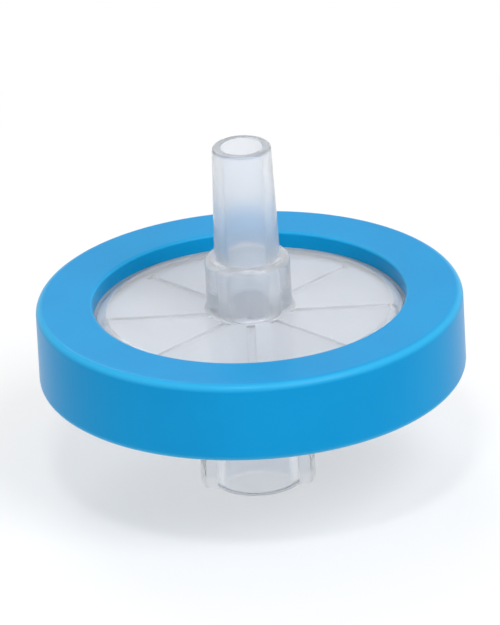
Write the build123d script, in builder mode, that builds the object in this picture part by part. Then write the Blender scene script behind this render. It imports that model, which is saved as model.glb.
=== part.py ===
"""Disc syringe filter: two clear housing halves clamp a round membrane inside a moulded sealing ring.

The filter stands on its inlet end at z = 0, with its axis on +Z and its outlet spigot on top.
All sizes are in millimetres.
"""

from build123d import *
import os

os.makedirs("parts", exist_ok=True)

# --- Membrane and the seat that clamps its edge ---
membrane_diameter = 25.0
membrane_thickness = 0.15
membrane_clamp_width = 2.3  # width of membrane edge held between the two flanges
membrane_side_clearance = 0.1  # around the membrane in its pocket

# --- Housing plates and flanges, alike on both sides ---
plate_thickness = 1.5  # wall between each outer face and its chamber
flange_joint_width = 0.8  # where the two flanges meet outside the membrane pocket
face_step_depth = 0.45  # outer face down to the flange that the ring grips
face_step_band = 0.92  # ring's window to the start of the step's slope
face_step_land = 0.2  # flat foot of the slope, beside the ring's window
inlet_chamber_depth = 0.55
outlet_chamber_depth = 0.55

# --- Sealing ring, moulded around both flanges ---
ring_wall = 1.1  # outside the flanges
ring_grip = 2.77  # how far each lip laps over its flange
ring_lip_rise = 0.7  # each lip above the housing face beside it
ring_outer_radius = 0.55  # rounding of the two outer edges
ring_window_radius = 0.22  # rounding of the two window edges

# --- Inlet: tapered socket with two locking lugs ---
luer_taper = 0.06  # change of diameter for each millimetre of length
socket_mouth_diameter = 4.3
socket_depth = 7.5
socket_ledge = 0.7  # step from the socket's end down to the flow passage
inlet_passage_length = 2.6  # socket's end to the inlet chamber
neck_wall = 1.05  # beside the socket's mouth
neck_foot_radius = 0.7
mouth_chamfer = 0.2
lug_reach = 0.7  # each lug beyond the neck
lug_width = 3.2
lug_height = 2.3
lug_edge_chamfer = 0.3

# --- Outlet: stepped boss with a tapered spigot ---
spigot_tip_diameter = 4.0
spigot_length = 8.0
spigot_tip_wall = 0.6
spigot_tip_radius = 0.2  # rounding of the tip's outer edge
boss_shoulder = 0.65  # step from the boss to the spigot's root
boss_height = 3.8
boss_shoulder_radius = 0.5
boss_foot_radius = 0.35

# --- Radial ribs in the outlet chamber, which the membrane lies against ---
rib_count = 8
rib_width = 0.6
rib_end_gap = 0.7  # between a rib's ends and the chamber's wall or the passage

# --- Radii and places along a radius, outwards from the axis ---
membrane_radius = membrane_diameter / 2
chamber_radius = membrane_radius - membrane_clamp_width
pocket_radius = membrane_radius + membrane_side_clearance
flange_radius = pocket_radius + flange_joint_width
window_radius = flange_radius - ring_grip
step_foot_radius = window_radius - face_step_land
face_radius = window_radius - face_step_band
ring_radius = flange_radius + ring_wall

socket_mouth_radius = socket_mouth_diameter / 2
socket_end_radius = socket_mouth_radius - luer_taper * socket_depth / 2
inlet_passage_radius = socket_end_radius - socket_ledge
neck_radius = socket_mouth_radius + neck_wall
lug_radius = neck_radius + lug_reach

spigot_tip_outer = spigot_tip_diameter / 2
spigot_root_outer = spigot_tip_outer + luer_taper * spigot_length / 2
outlet_passage_radius = spigot_tip_outer - spigot_tip_wall
boss_radius = spigot_root_outer + boss_shoulder

rib_start = outlet_passage_radius + rib_end_gap
rib_end = chamber_radius - rib_end_gap

# --- Heights, upwards from the inlet end ---
inlet_floor_z = socket_depth + inlet_passage_length
inlet_face_z = inlet_floor_z - plate_thickness
inlet_flange_z = inlet_face_z + face_step_depth
membrane_seat_z = inlet_floor_z + inlet_chamber_depth
joint_z = membrane_seat_z + membrane_thickness
outlet_ceiling_z = joint_z + outlet_chamber_depth
outlet_face_z = outlet_ceiling_z + plate_thickness
outlet_flange_z = outlet_face_z - face_step_depth
boss_top_z = outlet_face_z + boss_height
spigot_tip_z = boss_top_z + spigot_length
ring_bottom_z = inlet_face_z - ring_lip_rise
ring_top_z = outlet_face_z + ring_lip_rise


def circle_edges(part, radius, height):
    """Circles and arcs of one radius, round the axis at one height."""
    return [
        edge
        for edge in part.edges().filter_by(GeomType.CIRCLE)
        if abs(edge.radius - radius) < 1e-4 and abs(edge.arc_center.Z - height) < 1e-4
    ]


# --- Inlet housing: plate, flange and neck turned as one, then lugs and socket ---
with BuildPart() as inlet_housing:
    with BuildSketch(Plane.XZ):
        with BuildLine():
            Polyline(
                (0, 0),
                (neck_radius, 0),
                (neck_radius, inlet_face_z),
                (face_radius, inlet_face_z),
                (step_foot_radius, inlet_flange_z),
                (flange_radius, inlet_flange_z),
                (flange_radius, joint_z),
                (pocket_radius, joint_z),
                (pocket_radius, membrane_seat_z),
                (chamber_radius, membrane_seat_z),
                (chamber_radius, inlet_floor_z),
                (0, inlet_floor_z),
                close=True,
            )
        make_face()
    revolve(axis=Axis.Z)
    fillet(circle_edges(inlet_housing.part, neck_radius, inlet_face_z), neck_foot_radius)

    # two lugs that a locking collar turns under
    with BuildSketch(Plane.XY):
        Circle(lug_radius)
        Rectangle(2 * lug_radius, lug_width, mode=Mode.INTERSECT)
    extrude(amount=lug_height)
    chamfer(circle_edges(inlet_housing.part, lug_radius, lug_height), lug_edge_chamfer)

    # tapered socket, then the flow passage to the chamber
    with BuildSketch(Plane.XZ):
        with BuildLine():
            Polyline(
                (0, 0),
                (socket_mouth_radius, 0),
                (socket_end_radius, socket_depth),
                (inlet_passage_radius, socket_depth),
                (inlet_passage_radius, inlet_floor_z),
                (0, inlet_floor_z),
                close=True,
            )
        make_face()
    revolve(axis=Axis.Z, mode=Mode.SUBTRACT)
    chamfer(circle_edges(inlet_housing.part, socket_mouth_radius, 0), mouth_chamfer)

inlet_housing.part.label = "inlet_housing"

# --- Outlet housing: plate, flange, boss and spigot turned as one, then ribs and passage ---
with BuildPart() as outlet_housing:
    with BuildSketch(Plane.XZ):
        with BuildLine():
            Polyline(
                (0, outlet_ceiling_z),
                (chamber_radius, outlet_ceiling_z),
                (chamber_radius, joint_z),
                (flange_radius, joint_z),
                (flange_radius, outlet_flange_z),
                (step_foot_radius, outlet_flange_z),
                (face_radius, outlet_face_z),
                (boss_radius, outlet_face_z),
                (boss_radius, boss_top_z),
                (spigot_root_outer, boss_top_z),
                (spigot_tip_outer, spigot_tip_z),
                (0, spigot_tip_z),
                close=True,
            )
        make_face()
    revolve(axis=Axis.Z)
    fillet(circle_edges(outlet_housing.part, boss_radius, outlet_face_z), boss_foot_radius)
    fillet(circle_edges(outlet_housing.part, boss_radius, boss_top_z), boss_shoulder_radius)
    fillet(circle_edges(outlet_housing.part, spigot_tip_outer, spigot_tip_z), spigot_tip_radius)

    # radial ribs that the membrane lies against, with the outflow between them
    with BuildSketch(Plane.XY.offset(joint_z)):
        with PolarLocations((rib_start + rib_end) / 2, rib_count):
            Rectangle(rib_end - rib_start, rib_width)
    extrude(amount=outlet_chamber_depth)

    # flow passage through boss and spigot
    with BuildSketch(Plane.XY.offset(outlet_ceiling_z)):
        Circle(outlet_passage_radius)
    extrude(amount=spigot_tip_z - outlet_ceiling_z, mode=Mode.SUBTRACT)

outlet_housing.part.label = "outlet_housing"

# --- Membrane: a flat porous disc clamped at its edge ---
with BuildPart() as membrane:
    with BuildSketch(Plane.XY.offset(membrane_seat_z)):
        Circle(membrane_radius)
    extrude(amount=membrane_thickness)

membrane.part.label = "membrane"

# --- Sealing ring: one band with two lips, moulded round the joined flanges ---
with BuildPart() as sealing_ring:
    with BuildSketch(Plane.XZ):
        with BuildLine():
            Polyline(
                (window_radius, ring_bottom_z),
                (ring_radius, ring_bottom_z),
                (ring_radius, ring_top_z),
                (window_radius, ring_top_z),
                (window_radius, outlet_flange_z),
                (flange_radius, outlet_flange_z),
                (flange_radius, inlet_flange_z),
                (window_radius, inlet_flange_z),
                close=True,
            )
        make_face()
    revolve(axis=Axis.Z)
    for lip_z in (ring_bottom_z, ring_top_z):
        fillet(circle_edges(sealing_ring.part, ring_radius, lip_z), ring_outer_radius)
        fillet(circle_edges(sealing_ring.part, window_radius, lip_z), ring_window_radius)

sealing_ring.part.label = "sealing_ring"

for piece in (inlet_housing, outlet_housing, membrane, sealing_ring):
    export_step(piece.part, f"parts/{piece.part.label}.step")
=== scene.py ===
"""Looks of a disc syringe filter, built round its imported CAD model.

Each moulding is a class that holds its sizes, turns its mesh and dresses it, and each finish is a
small frozen class that makes one material. Meshes are built in millimetres and end in metres.
"""

import logging
import math
from dataclasses import dataclass
from enum import Enum
from functools import cache
from typing import Any, Callable, Iterable, Protocol, Sequence

import bmesh
import bpy
from mathutils import Matrix, Vector


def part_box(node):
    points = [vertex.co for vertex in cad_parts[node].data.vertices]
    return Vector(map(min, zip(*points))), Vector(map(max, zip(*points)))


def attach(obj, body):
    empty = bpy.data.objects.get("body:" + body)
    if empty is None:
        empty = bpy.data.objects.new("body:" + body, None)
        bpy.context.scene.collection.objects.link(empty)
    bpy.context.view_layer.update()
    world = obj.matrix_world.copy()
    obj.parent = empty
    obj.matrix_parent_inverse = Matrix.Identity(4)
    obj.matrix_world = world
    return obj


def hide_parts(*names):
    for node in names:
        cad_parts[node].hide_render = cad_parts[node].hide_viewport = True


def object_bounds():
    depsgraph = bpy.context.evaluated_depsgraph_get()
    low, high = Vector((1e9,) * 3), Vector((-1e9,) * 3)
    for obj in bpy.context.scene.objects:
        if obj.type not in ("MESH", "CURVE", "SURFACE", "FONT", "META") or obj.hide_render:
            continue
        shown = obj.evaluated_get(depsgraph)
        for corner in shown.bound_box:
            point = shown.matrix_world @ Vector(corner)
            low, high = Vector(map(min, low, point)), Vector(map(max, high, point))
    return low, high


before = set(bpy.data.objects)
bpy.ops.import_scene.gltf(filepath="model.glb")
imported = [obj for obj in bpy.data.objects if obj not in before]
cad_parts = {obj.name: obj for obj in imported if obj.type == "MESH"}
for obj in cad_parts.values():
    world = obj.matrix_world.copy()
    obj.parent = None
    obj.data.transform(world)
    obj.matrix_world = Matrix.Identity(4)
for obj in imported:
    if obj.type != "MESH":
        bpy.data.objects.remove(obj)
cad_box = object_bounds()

log = logging.getLogger("syringe_filter")

MM = 0.001  # metres in a millimetre
BODY = "root"

Colour = tuple[float, float, float]
Rgba = tuple[float, float, float, float]
Range = tuple[float, float]
Key = int | str  # a socket's number or name

WHITE: Colour = (1.0, 1.0, 1.0)


class Slot(Enum):
    """The record's material slots."""

    CLEAR_HOUSING = "clear_housing"
    MEMBRANE = "membrane"
    BLUE_RING = "blue_ring"


class Mark(Enum):
    """The plain shapes that the printed arc is made of."""

    BAR = "bar"
    PAIR = "pair"
    DOT = "dot"
    BLOCK = "block"
    WEDGE = "wedge"
    RING = "ring"
    FRAME = "frame"
    GAP = "gap"


# --- Shader graphs ---


class Signal:
    """An output socket that can stand in a Python expression."""

    def __init__(self, graph: "Graph", socket: bpy.types.NodeSocket) -> None:
        """Wrap an output socket of a graph."""
        self.graph = graph
        self.socket = socket

    def _math(self, operation: str, first: "Signal | float", second: "Signal | float | None") -> "Signal":
        """Add a Math node and return its result."""
        return self.graph.add("ShaderNodeMath", {"operation": operation}, {0: first, 1: second})

    def __add__(self, other: "Signal | float") -> "Signal":
        """Return self + other."""
        return self._math("ADD", self, other)

    def __radd__(self, other: "Signal | float") -> "Signal":
        """Return other + self."""
        return self._math("ADD", other, self)

    def __sub__(self, other: "Signal | float") -> "Signal":
        """Return self - other."""
        return self._math("SUBTRACT", self, other)

    def __rsub__(self, other: "Signal | float") -> "Signal":
        """Return other - self."""
        return self._math("SUBTRACT", other, self)

    def __mul__(self, other: "Signal | float") -> "Signal":
        """Return self * other."""
        return self._math("MULTIPLY", self, other)

    def __rmul__(self, other: "Signal | float") -> "Signal":
        """Return other * self."""
        return self._math("MULTIPLY", other, self)

    def __abs__(self) -> "Signal":
        """Return self without its sign."""
        return self._math("ABSOLUTE", self, None)

    def at_least(self, other: "Signal | float") -> "Signal":
        """Return the larger of self and other."""
        return self._math("MAXIMUM", self, other)

    def smooth_step(self, low: float, high: float) -> "Signal":
        """Return 0 below low and 1 above high, with a smooth rise between them."""
        settings = {"interpolation_type": "SMOOTHSTEP"}
        return self.graph.add("ShaderNodeMapRange", settings, {"Value": self, 1: low, 2: high})


class Graph:
    """The node tree of one material or world."""

    def __init__(self, tree: bpy.types.NodeTree) -> None:
        """Take over the node tree of a material or world, and empty it."""
        self.tree = tree
        self.tree.nodes.clear()

    def node(self, kind: str, settings: dict[str, Any], inputs: dict[Key, Any]) -> bpy.types.Node:
        """Add one node.

        Args:
            kind: the node's type.
            settings: properties of the node, set before its sockets.
            inputs: values or signals, by the socket's name or number.

        Returns:
            The new node.
        """
        made = self.tree.nodes.new(kind)
        for name, value in settings.items():
            setattr(made, name, value)
        for name, value in inputs.items():
            if isinstance(value, Signal):
                self.tree.links.new(value.socket, made.inputs[name])
            elif value is not None:
                made.inputs[name].default_value = value
        return made

    def add(self, kind: str, settings: dict[str, Any], inputs: dict[Key, Any], output: Key = 0) -> Signal:
        """Add one node, as node() does, and return one of its outputs."""
        return Signal(self, self.node(kind, settings, inputs).outputs[output])

    def place(self) -> Signal:
        """Return the point on the surface, in object coordinates."""
        return self.add("ShaderNodeTexCoord", {}, {}, "Object")

    def height(self) -> Signal:
        """Return the height of the point on the surface, in metres."""
        return self.add("ShaderNodeSeparateXYZ", {}, {0: self.place()}, "Z")

    def radius(self) -> Signal:
        """Return the distance of the point on the surface from the Z axis, in metres."""
        flat = self.add("ShaderNodeVectorMath", {"operation": "MULTIPLY"}, {0: self.place(), 1: (1, 1, 0)})
        return self.add("ShaderNodeVectorMath", {"operation": "LENGTH"}, {0: flat}, "Value")

    def noise(self, size_mm: float, detail: float = 2.0) -> Signal:
        """Return noise around 0.5, whose features have a size and as many finer layers as detail."""
        inputs = {"Vector": self.place(), "Scale": 1 / (size_mm * MM), "Detail": detail}
        return self.add("ShaderNodeTexNoise", {}, inputs)

    def seen(self) -> Signal:
        """Tell whether the camera sees this, be it mirrored or through clear plastic.

        Returns:
            1 where it does, and else 0.
        """
        paths = self.node("ShaderNodeLightPath", {}, {})
        seen = Signal(self, paths.outputs["Is Camera Ray"])
        for kind in ("Is Glossy Ray", "Is Transmission Ray"):
            seen = seen.at_least(Signal(self, paths.outputs[kind]))
        return seen

    def blend(self, factor: Signal | float, first: Signal | Rgba, second: Signal | Rgba) -> Signal:
        """Return the first colour at factor 0, the second at 1, and their mix between."""
        settings = {"data_type": "RGBA"}
        return self.add("ShaderNodeMix", settings, {0: factor, 6: first, 7: second}, 2)

    def bump(self, height: Signal, depth_mm: float) -> Signal:
        """Return a normal that is tilted by a height, with a depth between its 0 and its 1."""
        return self.add("ShaderNodeBump", {}, {"Strength": 1.0, "Distance": depth_mm * MM, "Height": height})


def opaque(colour: Colour) -> Rgba:
    """Return a colour with full alpha."""
    return (*colour, 1.0)


def shaded(colour: Colour, share: float) -> Colour:
    """Return a colour with each channel times a share."""
    return (colour[0] * share, colour[1] * share, colour[2] * share)


def finished(name: str, build: Callable[[Graph], Signal]) -> bpy.types.Material:
    """Make a material whose surface a function builds.

    Args:
        name: the material's name.
        build: a function that fills a graph and returns the surface's shader.

    Returns:
        The material.
    """
    material = bpy.data.materials.new(name)
    material.use_nodes = True
    graph = Graph(material.node_tree)
    graph.node("ShaderNodeOutputMaterial", {}, {"Surface": build(graph)})
    return material


# --- Finishes ---


class Finish(Protocol):
    """Anything that can make a material."""

    def material(self) -> bpy.types.Material:
        """Return the finish as a material."""


@dataclass(frozen=True)
class ClearPolypropylene:
    """Natural polypropylene: see-through and glossy outside, milky and matt inside its chamber."""

    chamber_middle_mm: float  # height of the chambers' middle
    chamber_reach_mm: float  # from there to the chambers' floor and ceiling
    tint: Colour = (0.938, 0.963, 1.0)
    cloud_shade: float = 0.98  # the haze is uneven: its darkest share of the tint
    transmission: float = 0.84
    refraction: float = 1.49
    roughness: float = 0.15
    roughness_spread: float = 0.05
    chamber_roughness: float = 0.3
    chamber_milk: float = 0.3
    chamber_edge_mm: float = 0.1
    cloud_mm: float = 5.0
    cloud_range: Range = (0.2, 0.8)  # of the noise, from the darkest haze to none
    grain_mm: float = 0.35
    grain_depth_mm: float = 0.002

    @cache
    def material(self) -> bpy.types.Material:
        """Return the finish as a material."""
        return finished("clear_polypropylene", self._surface)

    def _surface(self, graph: Graph) -> Signal:
        """Build the surface.

        Args:
            graph: the empty graph to fill.

        Returns:
            The surface's shader.
        """
        cloud = graph.noise(self.cloud_mm).smooth_step(*self.cloud_range)
        thick = opaque(shaded(self.tint, self.cloud_shade))
        offset = abs(graph.height() - self.chamber_middle_mm * MM)
        reach = self.chamber_reach_mm * MM
        outside = offset.smooth_step(reach, reach + self.chamber_edge_mm * MM)
        skin = self.roughness + self.roughness_spread * cloud
        inputs = {
            "Base Color": graph.blend(cloud, thick, opaque(self.tint)),
            "Roughness": self.chamber_roughness + (skin - self.chamber_roughness) * outside,
            "IOR": self.refraction,
            "Transmission Weight": self.transmission,
            "Normal": graph.bump(graph.noise(self.grain_mm), self.grain_depth_mm),
        }
        clear = graph.add("ShaderNodeBsdfPrincipled", {}, inputs)
        milky = graph.add("ShaderNodeBsdfDiffuse", {}, {"Color": opaque(self.tint)})
        milk = (1 - outside) * self.chamber_milk
        return graph.add("ShaderNodeMixShader", {}, {0: milk, 1: clear, 2: milky})


@dataclass(frozen=True)
class HighlightRim:
    """A rounded edge that runs round the Z axis, with a painted highlight along it, in millimetres."""

    radius: float  # of the wall that ends in the edge
    rounding: float
    side: int  # 1 where the wall faces outwards, -1 where it faces the axis
    highlight_strength: float  # strength of the painted highlight, from 0 to 1
    core: float = 0.3  # share of the rounding that keeps the painted highlight at full strength

    def light(self, radius: Signal, depth: Signal) -> Signal:
        """Return the strength of the painted highlight on the rim's rounding, and 0 away from it.

        Args:
            radius: the distance from the axis, in metres.
            depth: how far the point lies below the face that ends in the edge, in metres.

        Returns:
            The painted highlight's strength over the surface.
        """
        # The painted highlight is full over the core of the rounding and fades out towards its ends.
        start, end = self.core * self.rounding * MM, self.rounding * MM
        inside = (self.radius * MM - radius) * self.side
        return (1 - inside.smooth_step(start, end)) * (1 - depth.smooth_step(start, end)) * self.highlight_strength


@dataclass(frozen=True)
class BluePolypropylene:
    """Blue moulded polypropylene with a satin skin and a painted highlight along its rounded rims."""

    middle_mm: float  # height of the middle between both faces
    reach_mm: float  # from there to each face
    highlight_rims: tuple[HighlightRim, ...]
    colour: Colour = (0.0004, 0.258, 0.565)
    pale_colour: Colour = (0.0008, 0.288, 0.610)
    # colour of the painted highlight along the rounded rims
    highlight_colour: Colour = (0.030, 0.390, 0.700)
    refraction: float = 1.49
    roughness: float = 0.27
    roughness_spread: float = 0.05
    specular: float = 0.10
    scatter: float = 0.12
    scatter_depth_mm: float = 0.8
    scatter_reach: Colour = (0.25, 0.6, 1.0)  # of red, green and blue light
    cloud_mm: float = 7.0
    cloud_range: Range = (0.1, 0.9)  # of the noise, from the deep to the pale colour
    grain_mm: float = 0.25
    grain_depth_mm: float = 0.003

    @cache
    def material(self) -> bpy.types.Material:
        """Return the finish as a material."""
        return finished("blue_polypropylene", self._surface)

    def _surface(self, graph: Graph) -> Signal:
        """Build the surface.

        Args:
            graph: the empty graph to fill.

        Returns:
            The surface's shader.
        """
        cloud = graph.noise(self.cloud_mm).smooth_step(*self.cloud_range)
        body = graph.blend(cloud, opaque(self.colour), opaque(self.pale_colour))
        inputs = {
            # painted highlight: the rims' roundings are blended towards the highlight colour
            "Base Color": graph.blend(self._painted_rim_highlight(graph), body, opaque(self.highlight_colour)),
            "Roughness": self.roughness + self.roughness_spread * cloud,
            "IOR": self.refraction,
            "Specular IOR Level": self.specular,
            "Subsurface Weight": self.scatter,
            "Subsurface Radius": self.scatter_reach,
            "Subsurface Scale": self.scatter_depth_mm * MM,
            "Normal": graph.bump(graph.noise(self.grain_mm), self.grain_depth_mm),
        }
        return graph.add("ShaderNodeBsdfPrincipled", {}, inputs)

    def _painted_rim_highlight(self, graph: Graph) -> Signal:
        """Work out how strongly the painted highlight along the rims lightens the surface.

        Args:
            graph: the graph to add to.

        Returns:
            The painted highlight's strength over the surface, from 0 to 1.
        """
        radius = graph.radius()
        depth = self.reach_mm * MM - abs(graph.height() - self.middle_mm * MM)
        light, *others = [rim.light(radius, depth) for rim in self.highlight_rims]
        for other in others:
            light = light.at_least(other)
        return light


@dataclass(frozen=True)
class PorousFilm:
    """White microporous membrane, matt and slightly fibrous."""

    colour: Colour = (0.935, 0.958, 1.0)
    pore_colour: Colour = (0.875, 0.901, 0.955)
    roughness: float = 0.85
    specular: float = 0.2
    pore_mm: float = 0.18
    fibre_mm: float = 1.6
    pore_share: float = 0.6  # of the mottle; the fibres have the rest
    mottle_range: Range = (0.3, 0.7)  # of the noise, from the pores' colour to the film's
    pore_depth_mm: float = 0.01

    @cache
    def material(self) -> bpy.types.Material:
        """Return the finish as a material."""
        return finished("porous_film", self._surface)

    def _surface(self, graph: Graph) -> Signal:
        """Build the surface.

        Args:
            graph: the empty graph to fill.

        Returns:
            The surface's shader.
        """
        pores = graph.noise(self.pore_mm, detail=4.0)
        fibres = graph.noise(self.fibre_mm, detail=3.0)
        mixed = self.pore_share * pores + (1 - self.pore_share) * fibres
        mottle = mixed.smooth_step(*self.mottle_range)
        inputs = {
            "Base Color": graph.blend(mottle, opaque(self.pore_colour), opaque(self.colour)),
            "Roughness": self.roughness,
            "Specular IOR Level": self.specular,
            "Normal": graph.bump(pores, self.pore_depth_mm),
        }
        return graph.add("ShaderNodeBsdfPrincipled", {}, inputs)


@dataclass(frozen=True)
class PrintInk:
    """Dark pad-printed ink, thin and slightly uneven."""

    colour: Colour = (0.018, 0.016, 0.010)
    thin_colour: Colour = (0.060, 0.054, 0.036)
    roughness: float = 0.5
    thin_roughness: float = 0.7
    patch_mm: float = 0.5
    patch_range: Range = (0.5, 0.75)  # of the noise, from full to thin ink

    @cache
    def material(self) -> bpy.types.Material:
        """Return the finish as a material."""
        return finished("print_ink", self._surface)

    def _surface(self, graph: Graph) -> Signal:
        """Build the surface.

        Args:
            graph: the empty graph to fill.

        Returns:
            The surface's shader.
        """
        thin = graph.noise(self.patch_mm, detail=3.0).smooth_step(*self.patch_range)
        inputs = {
            "Base Color": graph.blend(thin, opaque(self.colour), opaque(self.thin_colour)),
            "Roughness": self.roughness + (self.thin_roughness - self.roughness) * thin,
        }
        return graph.add("ShaderNodeBsdfPrincipled", {}, inputs)


# --- Meshes ---

Element = bmesh.types.BMFace | bmesh.types.BMEdge | bmesh.types.BMVert


@dataclass(frozen=True)
class Corner:
    """One corner of a turned profile, in millimetres."""

    radius: float  # from the axis
    height: float
    rounding: float = 0.0
    steps: int = 2  # faces across the rounding


@dataclass(frozen=True)
class RadialRibs:
    """Low ribs that stand out from the flat inside of a chamber, in millimetres."""

    count: int
    width: float
    start: float
    end: float
    base_height: float
    rise: float  # below zero where the ribs point down
    softness: float = 0.08
    soft_steps: int = 2  # faces across a softened edge


class Shape:
    """A mesh built in millimetres that ends as one object at the origin, in metres."""

    turn_steps: int = 192
    smooth_angle: float = math.radians(35)  # the most between two faces that are shaded as one
    sharp_angle: float = math.radians(40)  # the least between two faces whose edge is softened
    near: float = 1e-4  # millimetres

    def __init__(self) -> None:
        """Start an empty mesh."""
        self.bm = bmesh.new()

    def turn(self, profile: Sequence[Corner]) -> None:
        """Spin a closed profile a full turn round the Z axis.

        Args:
            profile: the corners in order. None of them lies on the axis.
        """
        corners = [self.bm.verts.new((c.radius, 0.0, c.height)) for c in profile]
        self.bm.faces.new(corners)
        for vert, corner in zip(corners, profile):
            if corner.rounding:
                bmesh.ops.bevel(
                    self.bm, geom=[vert], offset=corner.rounding, offset_type="OFFSET", affect="VERTICES",
                    segments=corner.steps, profile=0.5, material=-1,
                )
        bmesh.ops.delete(self.bm, geom=self.bm.faces[:], context="FACES_ONLY")
        bmesh.ops.spin(
            self.bm, geom=self.bm.verts[:] + self.bm.edges[:], cent=(0, 0, 0), axis=(0, 0, 1),
            angle=math.tau, steps=self.turn_steps, use_merge=True,
        )
        self._close()

    def _close(self) -> None:
        """Merge what coincides and turn all faces outwards."""
        bmesh.ops.remove_doubles(self.bm, verts=self.bm.verts[:], dist=self.near)
        bmesh.ops.recalc_face_normals(self.bm, faces=self.bm.faces[:])

    def faces_where(self, test: Callable[[Vector], bool]) -> list[bmesh.types.BMFace]:
        """Return the faces whose middle point, in millimetres, passes a test."""
        return [face for face in self.bm.faces if test(face.calc_center_median())]

    def cut(self, test: Callable[[Vector], bool], point: Vector, normal: Vector) -> None:
        """Cut edges along a plane into the faces whose middle point passes a test."""
        region = self.region(self.faces_where(test))
        bmesh.ops.bisect_plane(self.bm, geom=region, dist=self.near, plane_co=point, plane_no=normal)

    @staticmethod
    def region(faces: list[bmesh.types.BMFace]) -> list[Element]:
        """Add to faces their edges and vertices.

        Args:
            faces: the faces.

        Returns:
            The faces, edges and vertices, each once.
        """
        edges = dict.fromkeys(edge for face in faces for edge in face.edges)
        verts = dict.fromkeys(vert for face in faces for vert in face.verts)
        return [*faces, *edges, *verts]

    def raise_faces(self, faces: list[bmesh.types.BMFace]) -> list[bmesh.types.BMVert]:
        """Extrude faces in place, with walls round them, and return the new vertices."""
        made = bmesh.ops.extrude_face_region(self.bm, geom=self.region(faces))
        return [item for item in made["geom"] if isinstance(item, bmesh.types.BMVert)]

    def soften(self, test: Callable[[Vector], bool], width: float, steps: int) -> None:
        """Bevel sharp outward edges.

        Args:
            test: picks edges by their middle point.
            width: the bevel's width in millimetres.
            steps: the faces across it.
        """
        edges = []
        for edge in self.bm.edges:
            middle = (edge.verts[0].co + edge.verts[1].co) / 2
            if edge.is_convex and edge.calc_face_angle() > self.sharp_angle and test(middle):
                edges.append(edge)
        bmesh.ops.bevel(
            self.bm, geom=edges, offset=width, offset_type="OFFSET", affect="EDGES", segments=steps,
            profile=0.5, material=-1, clamp_overlap=True,
        )

    def raise_ribs(self, ribs: RadialRibs) -> None:
        """Raise radial ribs from a chamber's flat inside.

        Args:
            ribs: their sizes. The profile has corners at their start and end.
        """

        def in_band(point: Vector) -> bool:
            """Tell whether a point lies on the flat between the ribs' ends."""
            return abs(point.z - ribs.base_height) < self.near and ribs.start < point.xy.length < ribs.end

        normals = []
        for number in range(ribs.count // 2):
            angle = number * math.tau / ribs.count
            normals.append(Vector((-math.sin(angle), math.cos(angle), 0)))
        for normal in normals:
            for side in (-0.5, 0.5):
                self.cut(in_band, normal * side * ribs.width, normal)

        def on_rib(point: Vector) -> bool:
            """Tell whether a point of the flat lies under a rib."""
            return in_band(point) and any(abs(point.dot(n)) < ribs.width / 2 for n in normals)

        raised = self.raise_faces(self.faces_where(on_rib))
        bmesh.ops.translate(self.bm, verts=raised, vec=(0, 0, ribs.rise))
        top = ribs.base_height + ribs.rise
        self.soften(lambda point: abs(point.z - top) < self.near, ribs.softness, ribs.soft_steps)

    def finish(
        self, name: str, finish: Finish, slot: Slot | None, replaces: Iterable[str]
    ) -> bpy.types.Object:
        """Turn the mesh into a dressed object that rides on the part.

        Args:
            name: the piece's name.
            finish: what its surface is.
            slot: the record's material slot, if it has one; not used.
            replaces: the CAD nodes that it stands for.

        Returns:
            The new object.
        """
        bmesh.ops.recalc_face_normals(self.bm, faces=self.bm.faces[:])
        bmesh.ops.scale(self.bm, verts=self.bm.verts[:], vec=(MM, MM, MM))
        for face in self.bm.faces:
            face.smooth = True
        mesh = bpy.data.meshes.new(name)
        self.bm.to_mesh(mesh)
        self.bm.free()
        mesh.set_sharp_from_angle(angle=self.smooth_angle)
        piece = bpy.data.objects.new(name, mesh)
        bpy.context.scene.collection.objects.link(piece)
        piece.data.materials.append(finish.material())
        shading = piece.modifiers.new("even_shading", "WEIGHTED_NORMAL")
        shading.keep_sharp = True
        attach(piece, BODY)
        for node in replaces:
            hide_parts(node)
        return piece


@dataclass(frozen=True)
class NodeBox:
    """A CAD node's box, in millimetres."""

    radius: float
    bottom: float
    top: float

    @classmethod
    def of(cls, node: str) -> "NodeBox":
        """Read the box of a round node that stands on the Z axis."""
        low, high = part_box(node)
        return cls(high.x / MM, low.z / MM, high.z / MM)


INLET = NodeBox.of("inlet_housing")
OUTLET = NodeBox.of("outlet_housing")
MEMBRANE = NodeBox.of("membrane")
RING = NodeBox.of("sealing_ring")


# --- Sub-assemblies ---


@dataclass(frozen=True)
class Plate:
    """What both housing plates share, in millimetres."""

    thickness: float = 1.5
    chamber_depth: float = 0.55
    step_depth: float = 0.45
    step_band: float = 0.92  # ring's window to the start of the slope
    step_land: float = 0.2
    clamp_width: float = 2.3
    pocket_clearance: float = 0.1
    ring_grip: float = 2.77

    @property
    def chamber_radius(self) -> float:
        """Radius of the chamber's wall."""
        return MEMBRANE.radius - self.clamp_width

    @property
    def pocket_radius(self) -> float:
        """Radius of the membrane's pocket."""
        return MEMBRANE.radius + self.pocket_clearance

    @property
    def window_radius(self) -> float:
        """Radius of the ring's window."""
        return INLET.radius - self.ring_grip

    @property
    def face_radius(self) -> float:
        """Radius of the flat outer face."""
        return self.window_radius - self.step_band

    @property
    def step_foot_radius(self) -> float:
        """Radius where the step's slope meets the flange."""
        return self.window_radius - self.step_land


PLATE = Plate()
EDGE = 0.08  # rounding of a moulded edge, in millimetres
HAIRLINE = 0.005  # air between two pieces that touch, in millimetres


def clear_finish() -> ClearPolypropylene:
    """Return the finish that both clear mouldings share."""
    middle = (MEMBRANE.bottom + MEMBRANE.top) / 2
    return ClearPolypropylene(middle, MEMBRANE.top - middle + PLATE.chamber_depth)


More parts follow.
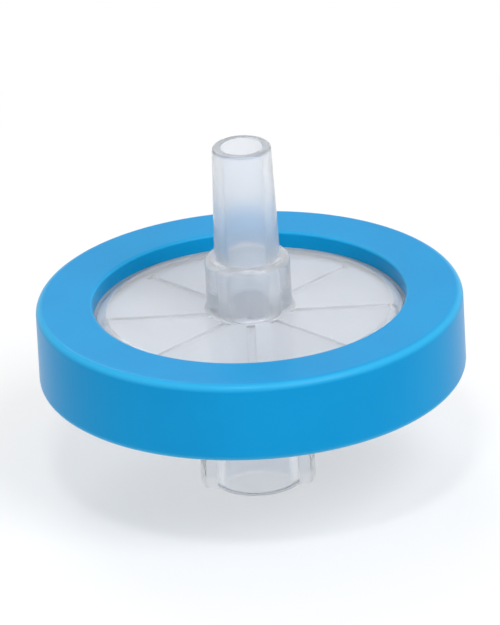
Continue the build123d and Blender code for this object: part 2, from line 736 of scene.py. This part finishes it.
@dataclass
class InletMoulding:
    """The clear half with the tapered socket and its two locking lugs."""

    socket_mouth_radius: float = 2.15
    socket_end_radius: float = 1.925
    socket_depth: float = 7.5
    mouth_chamfer: float = 0.2
    passage_radius: float = 1.225
    neck_radius: float = 3.2
    neck_foot_radius: float = 0.7
    lug_radius: float = 3.9
    lug_width: float = 3.2
    lug_height: float = 2.3
    lug_rounding: float = 0.3
    lug_steps: int = 4  # faces across a lug's rounded upper edge
    end_rounding: float = 0.2

    @property
    def floor(self) -> float:
        """Height of the chamber's floor."""
        return MEMBRANE.bottom - PLATE.chamber_depth

    @property
    def face(self) -> float:
        """Height of the outer face."""
        return self.floor - PLATE.thickness

    def profile(self) -> list[Corner]:
        """Lay out the half section.

        Returns:
            Its corners, from the socket's mouth outwards and back.
        """
        return [
            Corner(self.socket_mouth_radius, INLET.bottom, self.mouth_chamfer, 3),
            Corner(self.neck_radius, INLET.bottom, self.end_rounding, 4),
            Corner(self.neck_radius, self.lug_height),
            Corner(self.neck_radius, self.face, self.neck_foot_radius, 6),
            Corner(PLATE.face_radius, self.face, EDGE),
            Corner(PLATE.step_foot_radius, self.face + PLATE.step_depth, EDGE),
            Corner(INLET.radius, self.face + PLATE.step_depth, EDGE),
            Corner(INLET.radius, INLET.top - HAIRLINE, EDGE),
            Corner(PLATE.pocket_radius, INLET.top - HAIRLINE, EDGE),
            Corner(PLATE.pocket_radius, MEMBRANE.bottom),
            Corner(PLATE.chamber_radius, MEMBRANE.bottom, EDGE),
            Corner(PLATE.chamber_radius, self.floor, EDGE),
            Corner(self.passage_radius, self.floor, EDGE),
            Corner(self.passage_radius, self.socket_depth, EDGE),
            Corner(self.socket_end_radius, self.socket_depth, EDGE),
        ]

    def raise_lugs(self, shape: Shape) -> None:
        """Raise the two locking lugs from the neck's end.

        Args:
            shape: the turned moulding.
        """

        def on_wall(point: Vector) -> bool:
            """Tell whether a point lies on the neck's outside, no higher than the lugs."""
            outside = point.xy.length > self.neck_radius - self.end_rounding
            return outside and INLET.bottom < point.z < self.lug_height

        for side in (-0.5, 0.5):
            shape.cut(on_wall, Vector((0, side * self.lug_width, 0)), Vector((0, 1, 0)))

        def under_lug(point: Vector) -> bool:
            """Tell whether a point lies where a lug rises from the neck."""
            return on_wall(point) and abs(point.y) < self.lug_width / 2

        for step in range(self.lug_steps):
            rise = math.sin(step / self.lug_steps * math.pi / 2)
            height = self.lug_height - self.lug_rounding * (1 - rise)
            shape.cut(under_lug, Vector((0, 0, height)), Vector((0, 0, 1)))
        for sign in (-1, 1):
            lug = shape.faces_where(lambda point: under_lug(point) and sign * point.x > 0)
            for vert in shape.raise_faces(lug):
                radius = vert.co.xy.length + self.lug_reach(abs(vert.co.y), vert.co.z)
                vert.co.x = sign * math.sqrt(radius**2 - vert.co.y**2)

    def lug_reach(self, aside: float, height: float) -> float:
        """Return how far a lug stands out from the neck.

        Args:
            aside: the distance from the lug's middle plane.
            height: the height of the point.

        Returns:
            The full reach, or less where the lug's edges are rounded.
        """
        rounding = self.lug_rounding
        reach = self.lug_radius - self.neck_radius
        for past in (aside - self.lug_width / 2 + rounding, height - self.lug_height + rounding):
            if past > 0:
                reach -= rounding - math.sqrt(max(rounding**2 - past**2, 0.0))
        return reach

    def build(self) -> bpy.types.Object:
        """Build and dress the moulding.

        Returns:
            The new piece.
        """
        shape = Shape()
        shape.turn(self.profile())
        self.raise_lugs(shape)
        return shape.finish("inlet_moulding", clear_finish(), Slot.CLEAR_HOUSING, ["inlet_housing"])


@dataclass
class OutletMoulding:
    """The clear half with the stepped boss and the tapered spigot."""

    passage_radius: float = 1.4
    spigot_tip_radius: float = 2.0
    spigot_root_radius: float = 2.24
    spigot_length: float = 8.0
    tip_rounding: float = 0.2
    boss_radius: float = 2.89
    boss_shoulder_rounding: float = 0.5
    boss_foot_rounding: float = 0.35
    rib_count: int = 8
    rib_width: float = 0.6
    rib_gap: float = 0.7

    @property
    def ceiling(self) -> float:
        """Height of the chamber's ceiling."""
        return OUTLET.bottom + PLATE.chamber_depth

    @property
    def face(self) -> float:
        """Height of the outer face."""
        return self.ceiling + PLATE.thickness

    @property
    def boss_top(self) -> float:
        """Height of the boss's shoulder."""
        return OUTLET.top - self.spigot_length

    def ribs(self) -> RadialRibs:
        """Lay out the ribs that the membrane lies against.

        Returns:
            Their sizes.
        """
        start = self.passage_radius + self.rib_gap
        end = PLATE.chamber_radius - self.rib_gap
        return RadialRibs(self.rib_count, self.rib_width, start, end, self.ceiling, -PLATE.chamber_depth)

    def profile(self) -> list[Corner]:
        """Lay out the half section.

        Returns:
            Its corners, from the passage outwards, up and back.
        """
        ribs = self.ribs()
        return [
            Corner(self.passage_radius, self.ceiling, EDGE),
            Corner(ribs.start, self.ceiling),
            Corner(ribs.end, self.ceiling),
            Corner(PLATE.chamber_radius, self.ceiling, EDGE),
            Corner(PLATE.chamber_radius, OUTLET.bottom, EDGE),
            Corner(OUTLET.radius, OUTLET.bottom, EDGE),
            Corner(OUTLET.radius, self.face - PLATE.step_depth, EDGE),
            Corner(PLATE.step_foot_radius, self.face - PLATE.step_depth, EDGE),
            Corner(PLATE.face_radius, self.face, EDGE),
            Corner(self.boss_radius, self.face, self.boss_foot_rounding, 5),
            Corner(self.boss_radius, self.boss_top, self.boss_shoulder_rounding, 6),
            Corner(self.spigot_root_radius, self.boss_top, EDGE),
            Corner(self.spigot_tip_radius, OUTLET.top, self.tip_rounding, 4),
            Corner(self.passage_radius, OUTLET.top, EDGE),
        ]

    def build(self) -> bpy.types.Object:
        """Build and dress the moulding.

        Returns:
            The new piece.
        """
        shape = Shape()
        shape.turn(self.profile())
        shape.raise_ribs(self.ribs())
        return shape.finish("outlet_moulding", clear_finish(), Slot.CLEAR_HOUSING, ["outlet_housing"])


@dataclass
class FilterMembrane:
    """The white disc that both halves clamp at its rim."""

    crease_width: float = 0.05
    press_depth: float = 0.02  # how far each flange presses into the rim

    @property
    def bottom(self) -> float:
        """Height of the lower side."""
        return MEMBRANE.bottom + HAIRLINE

    @property
    def top(self) -> float:
        """Height of the upper side."""
        return MEMBRANE.top - HAIRLINE

    def build(self) -> bpy.types.Object:
        """Build and dress the membrane.

        Returns:
            The new piece.
        """
        shape = Shape()
        disc = bmesh.ops.create_circle(
            shape.bm, cap_ends=True, segments=shape.turn_steps, radius=MEMBRANE.radius,
            matrix=Matrix.Translation((0, 0, self.bottom + self.press_depth)),
        )
        face = disc["verts"][0].link_faces[0]
        top = shape.raise_faces([face])
        thickness = self.top - self.bottom - 2 * self.press_depth
        bmesh.ops.translate(shape.bm, verts=top, vec=(0, 0, thickness))
        self.swell_middle(shape)
        return shape.finish("membrane_disc", PorousFilm(), Slot.MEMBRANE, ["membrane"])

    def swell_middle(self, shape: Shape) -> None:
        """Bring both sides to their full height inside the clamped rim, with a fine crease between.

        Args:
            shape: a disc as thin as the clamped rim.
        """
        clamp = MEMBRANE.radius - PLATE.chamber_radius
        for height, sign in ((self.bottom, -1), (self.top, 1)):
            pressed = height - sign * self.press_depth
            for width, rise in ((clamp, 0.0), (self.crease_width, sign * self.press_depth)):
                flat = [f for f in shape.bm.faces if abs(f.calc_center_median().z - pressed) < shape.near]
                middle = max(flat, key=lambda f: f.calc_area())
                bmesh.ops.inset_individual(shape.bm, faces=[middle], thickness=width, depth=0.0)
                bmesh.ops.translate(shape.bm, verts=middle.verts[:], vec=(0, 0, rise))


@dataclass
class RingMoulding:
    """The blue ring that is moulded round both flanges."""

    outer_rounding: float = 0.55
    window_rounding: float = 0.22

    def profile(self) -> list[Corner]:
        """Lay out the C-shaped half section.

        Returns:
            Its corners, from the lower lip outwards, up and back through the groove.
        """
        window = PLATE.window_radius
        groove = INLET.radius + HAIRLINE
        inlet_flange = InletMoulding().face + PLATE.step_depth - HAIRLINE
        outlet_flange = OutletMoulding().face - PLATE.step_depth + HAIRLINE
        return [
            Corner(window, RING.bottom, self.window_rounding, 4),
            Corner(RING.radius, RING.bottom, self.outer_rounding, 6),
            Corner(RING.radius, RING.top, self.outer_rounding, 6),
            Corner(window, RING.top, self.window_rounding, 4),
            Corner(window, outlet_flange),
            Corner(groove, outlet_flange),
            Corner(groove, inlet_flange),
            Corner(window, inlet_flange),
        ]

    def build(self) -> bpy.types.Object:
        """Build and dress the ring.

        Returns:
            The new piece.
        """
        shape = Shape()
        shape.turn(self.profile())
        return shape.finish("ring_moulding", self.blue_finish(), Slot.BLUE_RING, ["sealing_ring"])

    def blue_finish(self) -> BluePolypropylene:
        """Put the ring's finish together.

        Returns:
            The finish, with the painted highlights of its rims in their places.
        """
        middle = (RING.bottom + RING.top) / 2
        # painted highlights on the outer rounding and, fainter, on the window's rounding
        highlight_rims = (
            HighlightRim(RING.radius, self.outer_rounding, side=1, highlight_strength=1.0),
            HighlightRim(PLATE.window_radius, self.window_rounding, side=-1, highlight_strength=0.6),
        )
        return BluePolypropylene(middle, RING.top - middle, highlight_rims)


@dataclass
class PrintedArc:
    """An arc of plain printed shapes on the inlet's outer face, in millimetres and radians."""

    arc_radius: float = 7.3
    mark_height: float = 1.75
    mark_width: float = 1.3
    stroke: float = 0.37
    pair_gap: float = 0.3
    dot_radius: float = 0.32
    corner_share: float = 0.25  # a corner's rounding as a share of the stroke
    corner_steps: int = 3
    round_sides: int = 32
    ink_thickness: float = 0.02
    first_angle: float = math.radians(124)
    step_angle: float = math.radians(15.2)
    marks: tuple[Mark, ...] = (
        Mark.FRAME, Mark.BAR, Mark.WEDGE, Mark.GAP, Mark.PAIR, Mark.BLOCK, Mark.DOT, Mark.RING,
        Mark.GAP, Mark.BLOCK, Mark.BAR, Mark.FRAME, Mark.PAIR,
    )

    def build(self) -> bpy.types.Object:
        """Build and dress the print.

        Returns:
            The new piece.
        """
        shape = Shape()
        for number, mark in enumerate(self.marks):
            self.stamp(shape, mark, self.first_angle + number * self.step_angle)
        return shape.finish("printed_arc", PrintInk(), None, [])

    def stamp(self, shape: Shape, mark: Mark, angle: float) -> None:
        """Add one printed shape.

        Args:
            shape: the mesh that holds the print.
            mark: which shape it is.
            angle: where it lies round the axis.
        """
        before = set(shape.bm.verts)
        half_width = self.mark_width / 2
        corner_radius = half_width * math.sqrt(2)  # a square's corners lie this far from its middle
        if mark is Mark.BAR:
            self.bar(shape, 0.0)
        elif mark is Mark.PAIR:
            for side in (-0.5, 0.5):
                self.bar(shape, side * (self.stroke + self.pair_gap))
        elif mark is Mark.DOT:
            self.solid(shape, self.round_sides, self.dot_radius)
        elif mark is Mark.BLOCK:
            self.solid(shape, 4, corner_radius)
        elif mark is Mark.WEDGE:
            self.solid(shape, 3, corner_radius)
        elif mark is Mark.RING:
            self.outline(shape, self.round_sides, half_width)
        elif mark is Mark.FRAME:
            self.outline(shape, 4, corner_radius)
        made = [vert for vert in shape.bm.verts if vert not in before]
        height = InletMoulding().face + HAIRLINE - self.ink_thickness / 2
        turned = Matrix.Rotation(angle, 4, "Z") @ Matrix.Translation((self.arc_radius, 0, height))
        bmesh.ops.transform(shape.bm, matrix=turned, verts=made)

    def round_corners(self, shape: Shape, verts: Iterable[bmesh.types.BMVert]) -> None:
        """Round the upright edges of a flat shape.

        Args:
            shape: the mesh that holds it.
            verts: its vertices.
        """
        upright = dict.fromkeys(
            edge for vert in verts for edge in vert.link_edges
            if abs(edge.verts[0].co.z - edge.verts[1].co.z) > self.ink_thickness / 2
        )
        bmesh.ops.bevel(
            shape.bm, geom=list(upright), offset=self.stroke * self.corner_share, offset_type="OFFSET",
            affect="EDGES", segments=self.corner_steps, profile=0.5, material=-1,
        )

    def bar(self, shape: Shape, aside: float) -> None:
        """Add a narrow bar along the radius.

        Args:
            shape: the mesh to add to.
            aside: how far it lies beside the mark's middle.
        """
        size = Matrix.Diagonal((self.mark_height, self.stroke, self.ink_thickness, 1.0))
        placed = Matrix.Translation((0, aside, 0)) @ size
        made = bmesh.ops.create_cube(shape.bm, size=1.0, matrix=placed)["verts"]
        self.round_corners(shape, made)

    def solid(self, shape: Shape, sides: int, radius: float) -> None:
        """Add a filled regular shape, with a flat side towards the axis.

        Args:
            shape: the mesh to add to.
            sides: how many sides it has.
            radius: from its middle to its corners.
        """
        made = bmesh.ops.create_cone(
            shape.bm, cap_ends=True, segments=sides, radius1=radius, radius2=radius,
            depth=self.ink_thickness, matrix=Matrix.Rotation(self.flat_turn(sides), 4, "Z"),
        )["verts"]
        if sides < self.round_sides:
            self.round_corners(shape, made)

    def outline(self, shape: Shape, sides: int, radius: float) -> None:
        """Add an open regular shape that is one stroke wide.

        Args:
            shape: the mesh to add to.
            sides: how many sides it has.
            radius: from its middle to its outer corners.
        """
        low = Matrix.Translation((0, 0, -self.ink_thickness / 2))
        rim = bmesh.ops.create_circle(
            shape.bm, cap_ends=False, segments=sides, radius=radius,
            matrix=low @ Matrix.Rotation(self.flat_turn(sides), 4, "Z"),
        )["verts"]
        edges = list(dict.fromkeys(edge for vert in rim for edge in vert.link_edges))
        flat = bmesh.ops.extrude_edge_only(shape.bm, edges=edges)["geom"]
        inner = [item for item in flat if isinstance(item, bmesh.types.BMVert)]
        share = 1 - self.stroke / (radius * math.cos(math.pi / sides))
        bmesh.ops.scale(shape.bm, verts=inner, vec=(share, share, 1))
        faces = [item for item in flat if isinstance(item, bmesh.types.BMFace)]
        lifted = shape.raise_faces(faces)
        bmesh.ops.translate(shape.bm, verts=lifted, vec=(0, 0, self.ink_thickness))
        if sides < self.round_sides:
            self.round_corners(shape, [*rim, *inner, *lifted])

    @staticmethod
    def flat_turn(sides: int) -> float:
        """Return the turn that puts a side, not a corner, of a regular shape on the X axis."""
        return math.pi / sides


# --- Studio ---


@dataclass(frozen=True)
class PaperFloor:
    """White paper on a lit table: it keeps the shadow, fades to white further out and lights undersides."""

    colour: Colour = (0.90, 0.90, 0.90)
    least_white: float = 0.5
    fade_start: float = 0.009
    fade_end: float = 0.07

    @cache
    def material(self) -> bpy.types.Material:
        """Return the finish as a material."""
        return finished("paper_floor", self._surface)

    def _surface(self, graph: Graph) -> Signal:
        """Build the surface, which is clear from below.

        Args:
            graph: the empty graph to fill.

        Returns:
            The surface's shader.
        """
        distance = graph.add("ShaderNodeVectorMath", {"operation": "LENGTH"}, {0: graph.place()}, "Value")
        fade = distance.smooth_step(self.fade_start, self.fade_end).at_least(self.least_white)
        bounced = graph.add("ShaderNodeLightPath", {}, {}, "Diffuse Depth")
        paper = graph.add("ShaderNodeBsdfDiffuse", {}, {"Color": opaque(self.colour)})
        glow = graph.add("ShaderNodeEmission", {}, {"Color": opaque(WHITE), "Strength": 1.0})
        share = (fade * graph.seen()).at_least(bounced)
        top = graph.add("ShaderNodeMixShader", {}, {0: share, 1: paper, 2: glow})
        below = graph.add("ShaderNodeNewGeometry", {}, {}, "Backfacing")
        clear = graph.add("ShaderNodeBsdfTransparent", {}, {})
        return graph.add("ShaderNodeMixShader", {}, {0: below, 1: top, 2: clear})


@dataclass(frozen=True)
class Softbox:
    """One square area lamp that faces the object."""

    name: str
    azimuth: float  # degrees; 0 is in front of the object and 90 on its right
    elevation: float
    distance: float
    size: float
    watts: float

    def build(self, target: Vector) -> None:
        """Hang the lamp.

        Args:
            target: the point that it faces.
        """
        lamp = bpy.data.lights.new(self.name, "AREA")
        lamp.shape = "SQUARE"
        lamp.size = self.size
        lamp.energy = self.watts
        holder = bpy.data.objects.new(self.name, lamp)
        bpy.context.scene.collection.objects.link(holder)
        outwards = direction(self.azimuth, self.elevation)
        holder.location = target + outwards * self.distance
        holder.rotation_euler = outwards.to_track_quat("Z", "Y").to_euler()


def direction(azimuth: float, elevation: float) -> Vector:
    """Return the unit vector towards a viewer, so many degrees right of the front and above level."""
    turn, lift = math.radians(azimuth), math.radians(elevation)
    return Vector((math.sin(turn) * math.cos(lift), -math.cos(turn) * math.cos(lift), math.sin(lift)))


@dataclass
class Studio:
    """White floor, even sky, soft lamps and the camera."""

    sky_light: float = 0.5
    floor_radius: float = 3.0
    floor_sides: int = 64
    camera_elevation: float = 24.5
    camera_roll: float = 3.0
    camera_distance: float = 0.8
    lens: float = 680.0
    clip: Range = (0.01, 10.0)  # nearest and furthest that the camera sees, in metres
    lamps: tuple[Softbox, ...] = (
        Softbox("key_softbox", azimuth=42.0, elevation=48.0, distance=0.6, size=0.3, watts=1.9),
        Softbox("strip_softbox", azimuth=-8.0, elevation=62.0, distance=0.6, size=0.09, watts=0.8),
        Softbox("fill_softbox", azimuth=-65.0, elevation=25.0, distance=0.7, size=0.4, watts=0.5),
        Softbox("back_softbox", azimuth=195.0, elevation=45.0, distance=0.7, size=0.3, watts=0.9),
    )

    def build(self) -> None:
        """Set up everything round the object."""
        low, high = cad_box
        target = (low + high) / 2
        self.lay_floor()
        self.light_sky()
        for lamp in self.lamps:
            lamp.build(target)
        self.place_camera(target)
        bpy.context.scene.view_settings.view_transform = "Standard"

    def lay_floor(self) -> None:
        """Lay the floor that the filter stands on."""
        bm = bmesh.new()
        bmesh.ops.create_circle(bm, cap_ends=True, segments=self.floor_sides, radius=self.floor_radius)
        mesh = bpy.data.meshes.new("floor")
        bm.to_mesh(mesh)
        bm.free()
        floor = bpy.data.objects.new("floor", mesh)
        bpy.context.scene.collection.objects.link(floor)
        floor.data.materials.append(PaperFloor().material())

    def light_sky(self) -> None:
        """Give the world its even light, and plain white where it is seen."""
        world = bpy.data.worlds.new("studio")
        bpy.context.scene.world = world
        world.use_nodes = True
        graph = Graph(world.node_tree)
        strength = self.sky_light + (1 - self.sky_light) * graph.seen()
        light = graph.add("ShaderNodeBackground", {}, {"Color": opaque(WHITE), "Strength": strength})
        graph.node("ShaderNodeOutputWorld", {}, {"Surface": light})

    def place_camera(self, target: Vector) -> None:
        """Place the camera.

        Args:
            target: the point that it looks at.
        """
        data = bpy.data.cameras.new("camera")
        data.lens = self.lens
        data.clip_start, data.clip_end = self.clip
        camera = bpy.data.objects.new("camera", data)
        bpy.context.scene.collection.objects.link(camera)
        back = direction(0.0, self.camera_elevation)
        camera.location = target + back * self.camera_distance
        facing = back.to_track_quat("Z", "Y").to_matrix().to_4x4()
        roll = Matrix.Rotation(math.radians(-self.camera_roll), 4, "Z")
        camera.rotation_euler = (facing @ roll).to_euler()
        bpy.context.scene.camera = camera


def main() -> None:
    """Build the filter and its studio, and report each piece."""
    logging.basicConfig(level=logging.INFO, format="%(message)s")
    for part in (InletMoulding(), OutletMoulding(), FilterMembrane(), RingMoulding(), PrintedArc()):
        piece = part.build()
        log.info("%s: %d faces", piece.name, len(piece.data.polygons))
    Studio().build()


if __name__ == "__main__":
    main()
